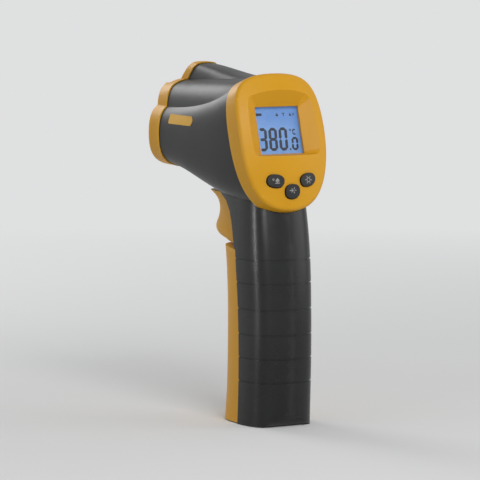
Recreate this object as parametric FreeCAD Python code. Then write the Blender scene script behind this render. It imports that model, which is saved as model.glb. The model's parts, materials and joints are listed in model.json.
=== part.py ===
"""Pistol-grip infrared thermometer, as separate moulded, optical and electrical pieces.

Frame: millimetres, +Z up, +Y is the way the nose points, +X is the right-hand side of the
person holding it. The origin is the centre of the flat base of the grip.
"""

import FreeCAD, Part

import math
import os

os.makedirs("parts", exist_ok=True)

# ---------------------------------------------------------------- driving dimensions (mm)
WALL = 2.2                    # moulded wall of the two housing halves
SHELL_GAP = 0.15              # gap between pieces that only lie beside each other
RUNNING = 0.05                # radial clearance of a pin that something turns on
SLIDE_GAP = 0.25              # side clearance of keys and other sliding pieces
SEAM_GAP = 0.35               # visible gap round the trigger and the battery door

# grip: half width, and reach to the rear and to the front at each height
GRIP_HALF_WIDTH = 15.0
GRIP_EXPONENT = 2.9
GRIP_STATIONS = (             # height, reach to the rear, reach to the front
    (0.0, 17.9, 22.9),
    (18.0, 18.9, 20.1),
    (36.0, 19.5, 19.3),
    (54.0, 19.2, 19.4),
    (72.0, 17.9, 21.4),
    (90.0, 15.4, 28.0),
    (106.0, 12.0, 38.0),
)
GROOVE_HEIGHTS = (19.0, 29.0, 39.0, 49.7, 60.6, 70.6)
GROOVE_WIDTH = 0.8
GROOVE_DEPTH = 0.35
BASE_EDGE = 5.0               # rounding of the rear edge of the base
NECK_NARROWING = 1.6          # how much narrower the grip is where it meets the head

# head: three moulded forms that run from the display to the nose
NOSE_FRONT = 69.0             # front edge of the nose rim
NOSE_RIM = 8.4                # length of the nose rim
NOSE_HALF_WIDTH = 19.8
NOSE_BOTTOM = 105.2
NOSE_STEP = 134.6             # top of the wide lens part of the nose
BROW_HALF_WIDTH = 15.8
BROW_TOP = 143.6
RIDGE_HALF_WIDTH = 6.6
RIDGE_TOP = 149.6
RIDGE_TAIL = 146.6            # height of the ridge where it meets the display bezel
RIM_PROUD = 0.5               # how far the nose rim stands out of the body
BELLY = 98.2                  # underside of the head above the trigger
HEAD_MIDDLE = 30.0            # station between the display and the nose
HEAD_REAR = -60.0             # a plane behind everything
NOSE_FAR = NOSE_FRONT + 4.0   # last station of the lofts, in front of the nose
NOSE_BACK = NOSE_FRONT - NOSE_RIM
BROW_ROOF = BROW_TOP - 2.6    # underside of the brow over the front panel
HEAD_EXPONENT = 3.0
RIDGE_EXPONENT = 4.0
LENS_STATIONS = (             # y, half width, top, bottom
    (HEAD_MIDDLE, 20.6, 139.0, BELLY),
    (NOSE_BACK, NOSE_HALF_WIDTH, NOSE_STEP, NOSE_BOTTOM),
    (NOSE_FAR, NOSE_HALF_WIDTH, NOSE_STEP, NOSE_BOTTOM),
)
BROW_STATIONS = (
    (2.0, 18.4, 146.3, 110.0),
    (HEAD_MIDDLE, 17.6, 145.2, 112.0),
    (NOSE_BACK, BROW_HALF_WIDTH, BROW_TOP, 115.0),
    (NOSE_FAR, BROW_HALF_WIDTH - 0.6, BROW_TOP - 0.8, 116.0),
)
RIDGE_STATIONS = (
    (1.0, RIDGE_HALF_WIDTH + 3.0, RIDGE_TAIL, 120.0),
    (22.0, RIDGE_HALF_WIDTH + 1.6, RIDGE_TAIL + 0.6, 122.0),
    (42.0, RIDGE_HALF_WIDTH + 0.4, RIDGE_TOP, 124.0),
    (NOSE_FAR, RIDGE_HALF_WIDTH - 0.4, RIDGE_TOP, 125.0),
)

# display bezel, in its own tilted frame: x to the right, y up the face, z out of the face
BEZEL_TILT = 16.1
BEZEL_CENTRE_Y = -10.6
BEZEL_CENTRE_Z = 119.75
BEZEL_HALF_WIDTH = 20.9
BEZEL_HALF_LENGTH = 29.4
BEZEL_WIDEST = 5.0            # height of the widest place above the bezel's middle
BEZEL_EXPONENT_UP = 3.3
BEZEL_EXPONENT_DOWN = 2.5
BEZEL_DEPTH = 7.4
BEZEL_WALL = 2.0
BEZEL_CROWN_RADIUS = 48.0
BEZEL_CROWN = 5.2             # height of the face over its edge plane, at the keys
BEZEL_KEY_CREST = 10.0        # distance below the bezel's middle of the face's crest
BEZEL_FACE = 2.0              # thickness of the face
BEZEL_SHOULDER = 2.0          # rounding between the face and the side wall
BODY_INSET = 0.7              # the housing is this much smaller than the bezel all round

# display
GLASS_WIDTH = 21.0            # opening in the bezel
GLASS_HEIGHT = 20.4
GLASS_RAISE = 5.3             # middle of the display above the bezel's middle
POCKET_SIDE = 4.8             # width of the sloped frame at the sides
POCKET_TOP = 5.6
POCKET_BOTTOM = 1.6
POCKET_FLOOR = -0.3           # height of the opening's edge above the edge plane
POCKET_SIDE_DEPTH = 3.3       # depth of the sloped frame at its sides
POCKET_END_DEPTH = 4.4        # its depth at the top and bottom
LIP = 1.1
PANE_THICKNESS = 1.0
PANE_BORDER = 1.6             # how far the pane reaches behind the lip
LCD_THICKNESS = 1.8
LCD_BORDER = 1.0
BACKLIGHT_THICKNESS = 1.6
HOLDER_WALL = 1.0
BOARD_THICKNESS = 1.6
BOARD_FACE = -6.2             # front face of the main board

# keys
KEY_SIDE_X = 7.8
KEY_SIDE_Y = -17.2
KEY_MIDDLE_Y = -21.8
KEY_LENGTH = 7.6
KEY_WIDTH = 5.2
KEY_MIDDLE_LENGTH = 6.8
KEY_MIDDLE_WIDTH = 5.8
KEY_TILT = 12.0
KEY_EXPONENT = 2.3
KEY_PROUD = 1.0
KEY_TRAVEL = 0.6
KEY_FLANGE = 0.9
KEY_UNDERSIDE = -0.4          # underside of the keys' flanges
SWITCH_SIZE = 4.5
SWITCH_HEIGHT = 2.0
SWITCH_STEM = 1.6

# optics, on the line of sight
SIGHT_Z = 119.5
LENS_DIAMETER = 15.0
LENS_THICKNESS = 1.6
LENS_FACE_Y = 57.0
HOOD_MOUTH = 21.0
PANEL_THICKNESS = 2.0
PANEL_SETBACK = 2.4
TUBE_DIAMETER = 20.0
LENS_LEDGE = 0.8              # seat behind the lens's edge
TUBE_LENGTH = 22.0
TUBE_FLANGE = 2.0
TUBE_FLANGE_HALF_WIDTH = 13.0
TUBE_FLANGE_HALF_HEIGHT = 9.0
RETAINER_LENGTH = 1.6
RETAINER_RIM = 4.0
CAN_DIAMETER = 9.1
CAN_HEIGHT = 4.4
SENSOR_BOARD = 18.0
SENSOR_BOARD_THICKNESS = 1.2
LASER_Z = 137.4
LASER_DIAMETER = 6.0
LASER_LENGTH = 15.0
LASER_WINDOW = 5.0

# trigger
TRIGGER_HALF_WIDTH = 11.2
TRIGGER_STATIONS = (          # height, reach to the front
    (74.6, 21.0),
    (77.4, 26.6),
    (79.0, 32.6),
    (81.2, 35.2),
    (84.6, 33.8),
    (89.4, 31.6),
    (93.1, 33.0),
    (95.4, 36.6),
    (97.0, 40.6),
)
TRIGGER_EXPONENT = 3.2
TRIGGER_REAR = 6.0            # how far the trigger's form reaches behind its middle
TRIGGER_OVER_DOOR = 1.0       # gap between the trigger and the battery door's top
TRIGGER_WALL = 2.0
TRIGGER_PIVOT_Y = 21.5
TRIGGER_PIVOT_Z = 93.6
TRIGGER_PIN_DIAMETER = 2.5
TRIGGER_EDGE = (              # side line where the trigger leaves the body: y, z
    (3.6, 74.0),
    (6.4, 84.0),
    (9.0, 89.8),
    (13.0, 94.2),
    (21.0, 97.8),
)
TRIGGER_POCKET = 3.0          # how far the body opens behind that line, for the trigger's travel
POCKET_RISE = 0.6             # share of that depth by which the pocket is higher than the line
TRIGGER_PIN_HALF = 9.0
EAR_INNER = 3.6               # inner face of the ears that hold the trigger's pin
EAR_THICKNESS = 2.4
EAR_RADIUS = 2.6
RIB_HALF_WIDTH = 1.5          # rib on the trigger that presses the switch
RIB_ABOVE = 1.5               # reach of the rib's end above and below the plunger's axis
RIB_BELOW = 4.0
RIB_RISE = 3.4                # room for the rib's end as it rises with the pull
SWITCH_Z = 84.4
SWITCH_FRONT_Y = -1.8         # front face of the trigger switch's case
SWITCH_CASE_HALF = 5.0         # half the width and height of the trigger switch's case
SWITCH_CASE_DEPTH = 6.4
CARRIER_FLOOR = 1.6
CARRIER_CHEEK = 1.2
PLUNGER_DIAMETER = 2.4
PLUNGER_GUIDE = 4.0
PLUNGER_TRAVEL = 1.5
RIB_BACK_Y = 1.2              # rear end of the trigger's rib at rest
SPRING_WIRE = 0.6
SPRING_PITCH = 0.8
SPRING_TURNS = 4

# battery door
DOOR_INSET = 0.5
DOOR_WALL = 1.9
DOOR_TOP = 74.2
DOOR_TOP_SLOPE = 5.0          # degrees, so that the door swings out from under the trigger
DOOR_SEAM = ((0.8, 0.0), (-0.2, 38.0), (2.8, DOOR_TOP))
DOOR_PIVOT_Y = 15.8
DOOR_PIVOT_Z = 4.2
DOOR_PIN_DIAMETER = 2.5
DOOR_LUG_RADIUS = 2.9
TONGUE_HALF_WIDTH = 6.6
DOOR_PIN_HALF = 10.2

# battery cells and their tray
CELL_DIAMETER = 10.5
CELL_LENGTH = 43.3
CELL_NUB = 1.2
CELL_NUB_DIAMETER = 3.8
CELL_SPREAD = 11.4            # distance between the two cells' axes
CELL_Y = 8.0
CELL_FLOAT = 0.25
TRAY_WALL = 1.4
TRAY_SIDE = 0.5               # thickness of the tray beside the cells
TRAY_BOTTOM = 10.0
CONTACT_THICKNESS = 0.4
SPRING_LENGTH = 4.0           # height of a contact spring under a cell
CONTACT_WIRE = 0.7
CONTACT_TURNS = 3
CONTACT_COIL_RADIUS = 3.2
CONTACT_TAPER = -14.0         # degrees, so that the coil narrows towards the cell

# screws
SCREW_DIAMETER = 2.6
SCREW_HEAD = 4.8
SCREW_HEAD_HEIGHT = 1.8
SCREW_SEAT = 6.0              # distance of the head's seat from the parting plane
SCREW_REACH = 7.0             # depth of the hole beyond the parting plane
SCREW_PLACES = ((-9.5, 20.0), (-9.5, 64.0), (14.0, 102.0), (42.0, 104.4), (32.0, 139.5))
BOSS_WALL = 1.5
CHIP_SIZE = 10.0
CHIP_HEIGHT = 1.6
BUZZER_DIAMETER = 9.0
BUZZER_HEIGHT = 3.4
BUZZER_Y = 15.5
BOARD_SCREW = 2.0
BOARD_SCREW_HEAD = 3.6
BOARD_BOSS = 4.2
BOARD_BOSSES = ((-15.0, 15.0), (15.0, 15.0), (-15.0, -9.5), (15.0, -9.5))
BOARD_INSET = 3.8             # the board's outline is this much inside the bezel's


def vec(x, y, z):
    return FreeCAD.Vector(x, y, z)


X_AXIS = vec(1, 0, 0)
Y_AXIS = vec(0, 1, 0)
Z_AXIS = vec(0, 0, 1)


# ---------------------------------------------------------------- small shape helpers
def loop(half_width, up, down, exponent_up, exponent_down):
    """Four quarters of a squarish ring about its own middle, each as the poles of one Bezier curve."""
    quarters = []
    for reach, exponent in ((up, exponent_up), (-down, exponent_down)):
        pull = (8.0 * 0.5 ** (1.0 / exponent) - 4.0) / 3.0
        right = [(half_width, 0.0), (half_width, pull * reach), (pull * half_width, reach), (0.0, reach)]
        left = [(-x, y) for x, y in reversed(right)]
        quarters += [right, left]
    upper_right, upper_left, lower_right, lower_left = quarters
    return [upper_right, upper_left, lower_left[::-1], lower_right[::-1]]


def closed_spline(quarters):
    edges = []
    for poles in quarters:
        curve = Part.BezierCurve()
        curve.setPoles(poles)
        edges.append(curve.toShape())
    return Part.Wire(edges)


def box(x0, x1, y0, y1, z0, z1):
    return Part.makeBox(x1 - x0, y1 - y0, z1 - z0, vec(x0, y0, z0))


def rod(diameter, length, start, direction):
    return Part.makeCylinder(diameter / 2.0, length, start, direction)


def ring(outer, inner, length, start, direction):
    return rod(outer, length, start, direction).cut(rod(inner, length, start, direction))


def side_plate(points, half_width):
    """A closed side-view outline (y, z), made into a plate that is centred on x = 0."""
    corners = [vec(-half_width, y, z) for y, z in points]
    face = Part.Face(Part.makePolygon(corners + corners[:1]))
    return face.extrude(vec(2.0 * half_width, 0, 0))


def on_bezel(shape):
    """Moves a shape from the bezel's tilted frame to its place on the thermometer."""
    turn = FreeCAD.Rotation(X_AXIS, 90.0 - BEZEL_TILT)
    place = FreeCAD.Placement(vec(0, BEZEL_CENTRE_Y, BEZEL_CENTRE_Z), turn)
    moved = shape.copy()
    moved.Placement = place.multiply(shape.Placement)
    return moved


def joined(shapes):
    whole = shapes[0]
    for shape in shapes[1:]:
        whole = whole.fuse(shape)
    return whole


def less(shape, tools):
    for tool in tools:
        shape = shape.cut(tool)
    return shape


def save(name, shape):
    solids = shape.Solids
    whole = solids[0] if len(solids) == 1 else Part.makeCompound(solids)
    whole.exportStep("parts/" + name + ".step")
    print(name, len(solids), round(whole.Volume, 1), whole.isValid())


# ---------------------------------------------------------------- the moulded outer form
def grip_form(inset):
    """The grip and neck, as a loft of level sections."""
    top = GRIP_STATIONS[-1][0]
    wires = []
    for height, rear, front in GRIP_STATIONS:
        share = max(0.0, (height - DOOR_TOP) / (top - DOOR_TOP))
        half_width = GRIP_HALF_WIDTH - NECK_NARROWING * share - inset
        quarters = loop(half_width, front - inset, rear - inset, GRIP_EXPONENT, GRIP_EXPONENT)
        level = inset if height == 0.0 else height
        wires.append(closed_spline([[vec(x, y, level) for x, y in quarter] for quarter in quarters]))
    return Part.makeLoft(wires, True, False)


def grip_grooves():
    """Shallow level grooves in the grip's skin."""
    bands = []
    for height in GROOVE_HEIGHTS:
        bands.append(box(-40, 40, -40, 40, height - GROOVE_WIDTH / 2, height + GROOVE_WIDTH / 2))
    skin = grip_form(-1.0).cut(grip_form(GROOVE_DEPTH))
    return [skin.common(band) for band in bands]


def head_loops(stations, exponent, inset):
    """Upright sections of one form of the head."""
    wires = []
    for y, half_width, top, bottom in stations:
        middle = (top + bottom) / 2.0
        reach = (top - bottom) / 2.0 - inset
        quarters = loop(half_width - inset, reach, reach, exponent, exponent)
        wires.append(closed_spline([[vec(x, y, middle + z) for x, z in quarter] for quarter in quarters]))
    return wires


def egg_wire(inset, level):
    """The bezel's egg outline, in the bezel's own frame."""
    up = BEZEL_HALF_LENGTH - BEZEL_WIDEST - inset
    down = BEZEL_HALF_LENGTH + BEZEL_WIDEST - inset
    quarters = loop(BEZEL_HALF_WIDTH - inset, up, down, BEZEL_EXPONENT_UP, BEZEL_EXPONENT_DOWN)
    return closed_spline([[vec(x, y + BEZEL_WIDEST, level) for x, y in quarter] for quarter in quarters])


def head_form(inset, back, front, overrun):
    """The head: wide lens part, brow and laser ridge, between y = back and y = front.

    The overrun carries a cavity's ends past the ends of the outer form.
    """
    rear = on_bezel(egg_wire(inset + BODY_INSET, -BEZEL_DEPTH + overrun))
    lens_part = Part.makeLoft([rear] + head_loops(LENS_STATIONS, HEAD_EXPONENT, inset), True, False)
    brow = Part.makeLoft(head_loops(BROW_STATIONS, HEAD_EXPONENT, inset), True, False)
    ridge = Part.makeLoft(head_loops(RIDGE_STATIONS, RIDGE_EXPONENT, inset), True, False)
    keep = box(-60, 60, back, front, 80, 170)
    return joined([lens_part.common(keep), brow.common(keep), ridge.common(keep)])


def brow_slope(back):
    """The space in front of the sloping brow of the nose."""
    low = BROW_TOP - 2.0
    high = RIDGE_TOP + 3.0
    return side_plate([(NOSE_FRONT - 3.0 - back, low), (NOSE_FRONT - 13.0 - back, high),
                       (120, high), (120, low)], 30.0)


def nose_region():
    """Everything in front of the line where the yellow nose starts."""
    return side_plate([(NOSE_BACK, 80), (NOSE_BACK, BROW_TOP - 3.0), (NOSE_BACK - 9.0, RIDGE_TOP + 3.0),
                       (120, RIDGE_TOP + 3.0), (120, 80)], 40.0)


def door_region(back):
    """Everything in front of the door seam and under the door's top, moved back by an amount."""
    ends = [vec(0, y - back, z) for y, z in DOOR_SEAM]
    low = vec(0, ends[0].y, -20)
    rise = 60.0 * math.tan(math.radians(DOOR_TOP_SLOPE))
    far_top = vec(0, ends[2].y + 60.0, DOOR_TOP + back + rise)
    near_top = vec(0, ends[2].y, DOOR_TOP + back)
    seam = Part.Arc(ends[0], ends[1], near_top).toShape()
    sides = [Part.LineSegment(low, ends[0]).toShape(), seam,
             Part.LineSegment(near_top, far_top).toShape(),
             Part.LineSegment(far_top, vec(0, far_top.y, -20)).toShape(),
             Part.LineSegment(vec(0, far_top.y, -20), low).toShape()]
    face = Part.Face(Part.Wire(sides))
    face.translate(vec(-30, 0, 0))
    return face.extrude(vec(60, 0, 0))


def trigger_region(back, half_width):
    """Everything in front of and under the line where the trigger leaves the body."""
    rise = back * POCKET_RISE
    line = [(y - back, z + rise) for y, z in TRIGGER_EDGE]
    bottom = DOOR_TOP - 3.0
    corners = [(line[0][0], bottom)] + line + [(90.0, line[-1][1]), (90.0, bottom)]
    return side_plate(corners, half_width)


def barrel(offset):
    """The space under the bezel's crowned face, in the bezel's frame, moved up by an offset."""
    radius = BEZEL_CROWN_RADIUS
    length = BEZEL_HALF_LENGTH + 6.0
    crest = [vec(0, -length, BEZEL_CROWN - 7.6 + offset), vec(0, -BEZEL_KEY_CREST, BEZEL_CROWN + offset),
             vec(0, length, BEZEL_CROWN - 4.6 + offset)]
    floor = [vec(0, length, -radius / 2), vec(0, -length, -radius / 2)]
    sides = [Part.Arc(crest[0], crest[1], crest[2]).toShape(),
             Part.LineSegment(crest[2], floor[0]).toShape(),
             Part.LineSegment(floor[0], floor[1]).toShape(),
             Part.LineSegment(floor[1], crest[0]).toShape()]
    face = Part.Face(Part.Wire(sides))
    face.rotate(vec(0, 0, -radius), Y_AXIS, -60)
    return face.revolve(vec(0, 0, -radius), Y_AXIS, 120)


# ---------------------------------------------------------------- housing halves
def boss_rods(diameter, x0, x1):
    return [rod(diameter, x1 - x0, vec(x0, y, z), X_AXIS) for y, z in SCREW_PLACES]


def tongue():
    """The base's forward tongue, which carries the battery door's hinge pin."""
    reach = DOOR_LUG_RADIUS
    block = side_plate([(-3.0, 0.0), (DOOR_PIVOT_Y - 3.0, 0.0), (DOOR_PIVOT_Y, DOOR_PIVOT_Z - reach),
                        (DOOR_PIVOT_Y, DOOR_PIVOT_Z + reach), (-3.0, DOOR_PIVOT_Z + reach)],
                       TONGUE_HALF_WIDTH)
    end = rod(2 * reach, 2 * TONGUE_HALF_WIDTH,
              vec(-TONGUE_HALF_WIDTH, DOOR_PIVOT_Y, DOOR_PIVOT_Z), X_AXIS)
    return block.fuse(end)


def trigger_ears():
    """Two ears that hang from the belly of the head and carry the trigger's pin."""
    ears = []
    roof = TRIGGER_EDGE[-1][1] + TRIGGER_POCKET * POCKET_RISE + WALL / 2
    for side in (-1, 1):
        x0 = EAR_INNER if side > 0 else -EAR_INNER - EAR_THICKNESS
        plate = box(x0, x0 + EAR_THICKNESS, TRIGGER_PIVOT_Y - EAR_RADIUS,
                    TRIGGER_PIVOT_Y + EAR_RADIUS, TRIGGER_PIVOT_Z, roof)
        end = rod(2 * EAR_RADIUS, EAR_THICKNESS, vec(x0, TRIGGER_PIVOT_Y, TRIGGER_PIVOT_Z), X_AXIS)
        ears.append(plate.fuse(end))
    return ears


def trigger_pin_rod(clearance):
    length = 2 * TRIGGER_PIN_HALF
    start = vec(-TRIGGER_PIN_HALF, TRIGGER_PIVOT_Y, TRIGGER_PIVOT_Z)
    return rod(TRIGGER_PIN_DIAMETER + 2 * clearance, length, start, X_AXIS)


def door_pin_rod(clearance):
    length = 2 * DOOR_PIN_HALF
    start = vec(-DOOR_PIN_HALF, DOOR_PIVOT_Y, DOOR_PIVOT_Z)
    return rod(DOOR_PIN_DIAMETER + 2 * clearance, length, start, X_AXIS)


def housing():
    grip = less(grip_form(0.0), grip_grooves())
    outer = grip.fuse(head_form(0.0, HEAD_REAR, NOSE_BACK, 0.0))
    cavity = grip_form(WALL).fuse(head_form(WALL, HEAD_REAR, NOSE_BACK + 2.0, 1.0))
    cavity = less(cavity, [door_region(WALL), trigger_region(TRIGGER_POCKET + WALL, 40.0)])
    bezel_space = Part.Face(egg_wire(-SHELL_GAP, -BEZEL_DEPTH)).extrude(vec(0, 0, 20))
    shell = less(outer, [cavity, on_bezel(bezel_space), nose_region(), door_region(0.0),
                         trigger_region(0.0, 40.0),
                         trigger_region(TRIGGER_POCKET, TRIGGER_HALF_WIDTH + SEAM_GAP)])
    bosses = [piece.common(outer) for piece in boss_rods(SCREW_DIAMETER + 2 * BOSS_WALL, -25, 25)]
    shell = joined([shell] + bosses + [tongue()] + trigger_ears())
    slot = box(-RIB_HALF_WIDTH - SLIDE_GAP, RIB_HALF_WIDTH + SLIDE_GAP, SWITCH_FRONT_Y - 0.5, 30,
               SWITCH_Z - RIB_BELOW - 1.0, SWITCH_Z + RIB_ABOVE + RIB_RISE)
    shell = less(shell, boss_rods(SCREW_DIAMETER + 0.04, -SCREW_REACH, 25))
    shell = less(shell, boss_rods(SCREW_HEAD + 0.4, SCREW_SEAT, 25))
    shell = less(shell, [trigger_pin_rod(0.01), door_pin_rod(0.01), slot])
    rear_edge = base_edge_cutter()
    return shell.cut(rear_edge)


def base_edge_cutter():
    """Rounds the rear lower edge of the grip's base."""
    rear = GRIP_STATIONS[0][1]
    corner = side_plate([(-rear - 5, -5), (-rear + BASE_EDGE, -5), (-rear + BASE_EDGE, BASE_EDGE),
                         (-rear - 5, BASE_EDGE)], 30.0)
    turn = rod(2 * BASE_EDGE, 60, vec(-30, -rear + BASE_EDGE, BASE_EDGE), X_AXIS)
    return corner.cut(turn)


def housing_screws():
    screws = []
    for y, z in SCREW_PLACES:
        shaft = rod(SCREW_DIAMETER, SCREW_SEAT + SCREW_REACH - 1.0, vec(1.0 - SCREW_REACH, y, z), X_AXIS)
        cap = rod(SCREW_HEAD, SCREW_HEAD_HEIGHT, vec(SCREW_SEAT, y, z), X_AXIS)
        screws.append(shaft.fuse(cap))
    return Part.makeCompound(screws)


# ---------------------------------------------------------------- trigger and its switch
def trigger_form(inset):
    wires = []
    for height, front in TRIGGER_STATIONS:
        quarters = loop(TRIGGER_HALF_WIDTH - inset, front - inset, TRIGGER_REAR, TRIGGER_EXPONENT, 4.0)
        wires.append(closed_spline([[vec(x, y, height) for x, y in quarter] for quarter in quarters]))
    return Part.makeLoft(wires, True, False)


def trigger():
    highest = TRIGGER_STATIONS[-1][0]
    outer = trigger_form(0.0).cut(door_region(TRIGGER_OVER_DOOR))
    slab = box(-40, 40, -40, 80, DOOR_TOP, highest - TRIGGER_WALL)
    hollow = trigger_form(TRIGGER_WALL).common(slab).cut(door_region(TRIGGER_OVER_DOOR + TRIGGER_WALL))
    shell = outer.cut(hollow).common(trigger_region(-SEAM_GAP, 40.0))
    boss_length = TRIGGER_HALF_WIDTH - TRIGGER_WALL - EAR_INNER - EAR_THICKNESS
    bosses = []
    for side in (-1, 1):
        start = (EAR_INNER + EAR_THICKNESS + 0.4) * side
        reach = vec(side, 0, 0)
        boss = rod(2 * EAR_RADIUS, boss_length + 1.0, vec(start, TRIGGER_PIVOT_Y, TRIGGER_PIVOT_Z), reach)
        bosses.append(boss.common(outer))
    rib_top = SWITCH_Z + RIB_ABOVE
    front = TRIGGER_STATIONS[4][1] - TRIGGER_WALL / 2
    rib_low = SWITCH_Z - RIB_BELOW
    keel = side_plate([(RIB_BACK_Y, rib_top), (RIB_BACK_Y, rib_low), (front, rib_low), (front, rib_top)],
                      RIB_HALF_WIDTH)
    whole = joined([shell, keel] + bosses)
    ear_space = EAR_INNER + EAR_THICKNESS + 0.4
    notch = box(-ear_space, ear_space, 0.0, TRIGGER_PIVOT_Y + EAR_RADIUS + 2.2,
                TRIGGER_PIVOT_Z - EAR_RADIUS - 0.6, highest + 1.0)
    return less(whole, [notch, trigger_pin_rod(RUNNING)])


def trigger_switch():
    """A snap switch behind the trigger; its plunger is a piece of its own."""
    half = SWITCH_CASE_HALF
    case = box(-half, half, SWITCH_FRONT_Y - SWITCH_CASE_DEPTH, SWITCH_FRONT_Y, SWITCH_Z - half, SWITCH_Z + half)
    guide = rod(PLUNGER_DIAMETER + 2 * RUNNING, PLUNGER_GUIDE + 0.4,
                vec(0, SWITCH_FRONT_Y - PLUNGER_GUIDE, SWITCH_Z), Y_AXIS)
    return case.cut(guide)


def switch_plunger():
    back = SWITCH_FRONT_Y - PLUNGER_GUIDE + PLUNGER_TRAVEL + 0.3
    return rod(PLUNGER_DIAMETER, RIB_BACK_Y - 0.02 - back, vec(0, back, SWITCH_Z), Y_AXIS)


def switch_carrier():
    """A moulded saddle between the two housing walls, which holds the trigger switch."""
    reach = GRIP_HALF_WIDTH - WALL - NECK_NARROWING
    low = SWITCH_Z - SWITCH_CASE_HALF - CARRIER_FLOOR
    rear, front = SWITCH_FRONT_Y - SWITCH_CASE_DEPTH - 0.6, SWITCH_FRONT_Y + 0.4
    saddle = box(-reach, reach, rear, front, low, low + CARRIER_FLOOR)
    cheeks = []
    for x0 in (-SWITCH_CASE_HALF - CARRIER_CHEEK, SWITCH_CASE_HALF):
        cheeks.append(box(x0, x0 + CARRIER_CHEEK, rear, front, low, SWITCH_Z + 3.0))
    return joined([saddle] + cheeks)


def coil(pitch, height, radius, taper, wire):
    """A coil of flat-sided wire that stands on the origin."""
    helix = Part.makeHelix(pitch, height, radius, taper)
    half = wire / 2
    corners = [vec(radius - half, 0, -half), vec(radius + half, 0, -half), vec(radius + half, 0, half),
               vec(radius - half, 0, half)]
    section = Part.makePolygon(corners + corners[:1])
    return Part.Wire(helix.Edges).makePipeShell([section], True, True)


def trigger_spring():
    """Torsion spring on the trigger's pin, between the two ears."""
    length = SPRING_TURNS * SPRING_PITCH
    spring = coil(SPRING_PITCH, length, TRIGGER_PIN_DIAMETER / 2 + SPRING_WIRE, 0.0, SPRING_WIRE)
    spring.rotate(vec(0, 0, 0), Y_AXIS, 90)
    spring.translate(vec(-length / 2, TRIGGER_PIVOT_Y, TRIGGER_PIVOT_Z))
    return spring


# ---------------------------------------------------------------- battery door, tray and cells
def battery_door():
    outer = grip_form(DOOR_INSET).common(door_region(-SEAM_GAP))
    inner = grip_form(DOOR_INSET + DOOR_WALL)
    ceiling = box(-40, 40, -40, 60, -5, DOOR_TOP - DOOR_WALL)
    shell = outer.cut(inner.common(ceiling))
    lugs = []
    for side in (-1, 1):
        start = (TONGUE_HALF_WIDTH + SLIDE_GAP) * side
        reach = vec(side, 0, 0)
        lug = rod(2 * DOOR_LUG_RADIUS, 4.0, vec(start, DOOR_PIVOT_Y, DOOR_PIVOT_Z), reach)
        lugs.append(lug.common(outer))
    shell = joined([shell] + lugs)
    tongue_space = box(-TONGUE_HALF_WIDTH - SLIDE_GAP, TONGUE_HALF_WIDTH + SLIDE_GAP, -40,
                       DOOR_PIVOT_Y + DOOR_LUG_RADIUS + 0.5, -5, DOOR_PIVOT_Z + DOOR_LUG_RADIUS + 1.0)
    floor_space = box(-40, 40, -40, DOOR_PIVOT_Y - DOOR_LUG_RADIUS - 1.0, -5, DOOR_INSET + DOOR_WALL + 0.2)
    keep_walls = grip_form(DOOR_INSET + DOOR_WALL)
    return less(shell, [tongue_space, floor_space.common(drop_to_floor(keep_walls)), door_pin_rod(RUNNING)])


def drop_to_floor(shape):
    lowered = shape.copy()
    lowered.translate(vec(0, 0, -DOOR_INSET - DOOR_WALL))
    return lowered


def cell_axis_x(side):
    return side * CELL_SPREAD / 2


def battery_tray():
    top = TRAY_BOTTOM + 2 * TRAY_WALL + CELL_LENGTH + CELL_NUB + SPRING_LENGTH + 2 * CONTACT_THICKNESS
    half = CELL_SPREAD / 2 + CELL_DIAMETER / 2 + CELL_FLOAT + TRAY_SIDE
    block = box(-half, half, -10.0, CELL_Y, TRAY_BOTTOM, top).common(door_region(0.0))
    troughs = []
    for side in (-1, 1):
        start = vec(cell_axis_x(side), CELL_Y, TRAY_BOTTOM + TRAY_WALL)
        troughs.append(rod(CELL_DIAMETER + 2 * CELL_FLOAT, top - TRAY_BOTTOM - 2 * TRAY_WALL, start, Z_AXIS))
    return less(block, troughs)


def battery_cell(side):
    """One AAA cell: its case with rounded edges, and the nub of its positive end."""
    low = TRAY_BOTTOM + TRAY_WALL + CONTACT_THICKNESS
    low = low + (SPRING_LENGTH if side < 0 else CELL_NUB)
    case = rod(CELL_DIAMETER, CELL_LENGTH, vec(cell_axis_x(side), CELL_Y, low), Z_AXIS)
    case = case.makeChamfer(0.4, [edge for edge in case.Edges if edge.Closed])
    nub_z = low + CELL_LENGTH if side < 0 else low - CELL_NUB
    nub = rod(CELL_NUB_DIAMETER, CELL_NUB, vec(cell_axis_x(side), CELL_Y, nub_z), Z_AXIS)
    return case.fuse(nub)


def battery_contacts():
    """Flat contacts at both ends of the tray and a coiled spring at each negative end."""
    top = TRAY_BOTTOM + TRAY_WALL + CELL_LENGTH + CELL_NUB + SPRING_LENGTH + 2 * CONTACT_THICKNESS
    pieces = []
    for side in (-1, 1):
        x = cell_axis_x(side)
        for low in (TRAY_BOTTOM + TRAY_WALL, top - CONTACT_THICKNESS):
            pieces.append(box(x - 3.6, x + 3.6, CELL_Y - 3.6, CELL_Y + 1.4, low, low + CONTACT_THICKNESS))
    return Part.makeCompound(pieces)


def contact_spring(side):
    """A tapering coil that presses on the cell's flat negative end."""
    top = TRAY_BOTTOM + TRAY_WALL + CELL_LENGTH + CELL_NUB + SPRING_LENGTH + CONTACT_THICKNESS
    x = cell_axis_x(side)
    height = SPRING_LENGTH - CONTACT_WIRE
    spring = coil(height / CONTACT_TURNS, height, CONTACT_COIL_RADIUS, CONTACT_TAPER, CONTACT_WIRE)
    if side > 0:
        spring.rotate(vec(0, 0, 0), X_AXIS, 180)
        spring.translate(vec(x, CELL_Y, top - CONTACT_WIRE / 2))
    else:
        spring.translate(vec(x, CELL_Y, TRAY_BOTTOM + TRAY_WALL + CONTACT_THICKNESS + CONTACT_WIRE / 2))
    return spring


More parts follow.
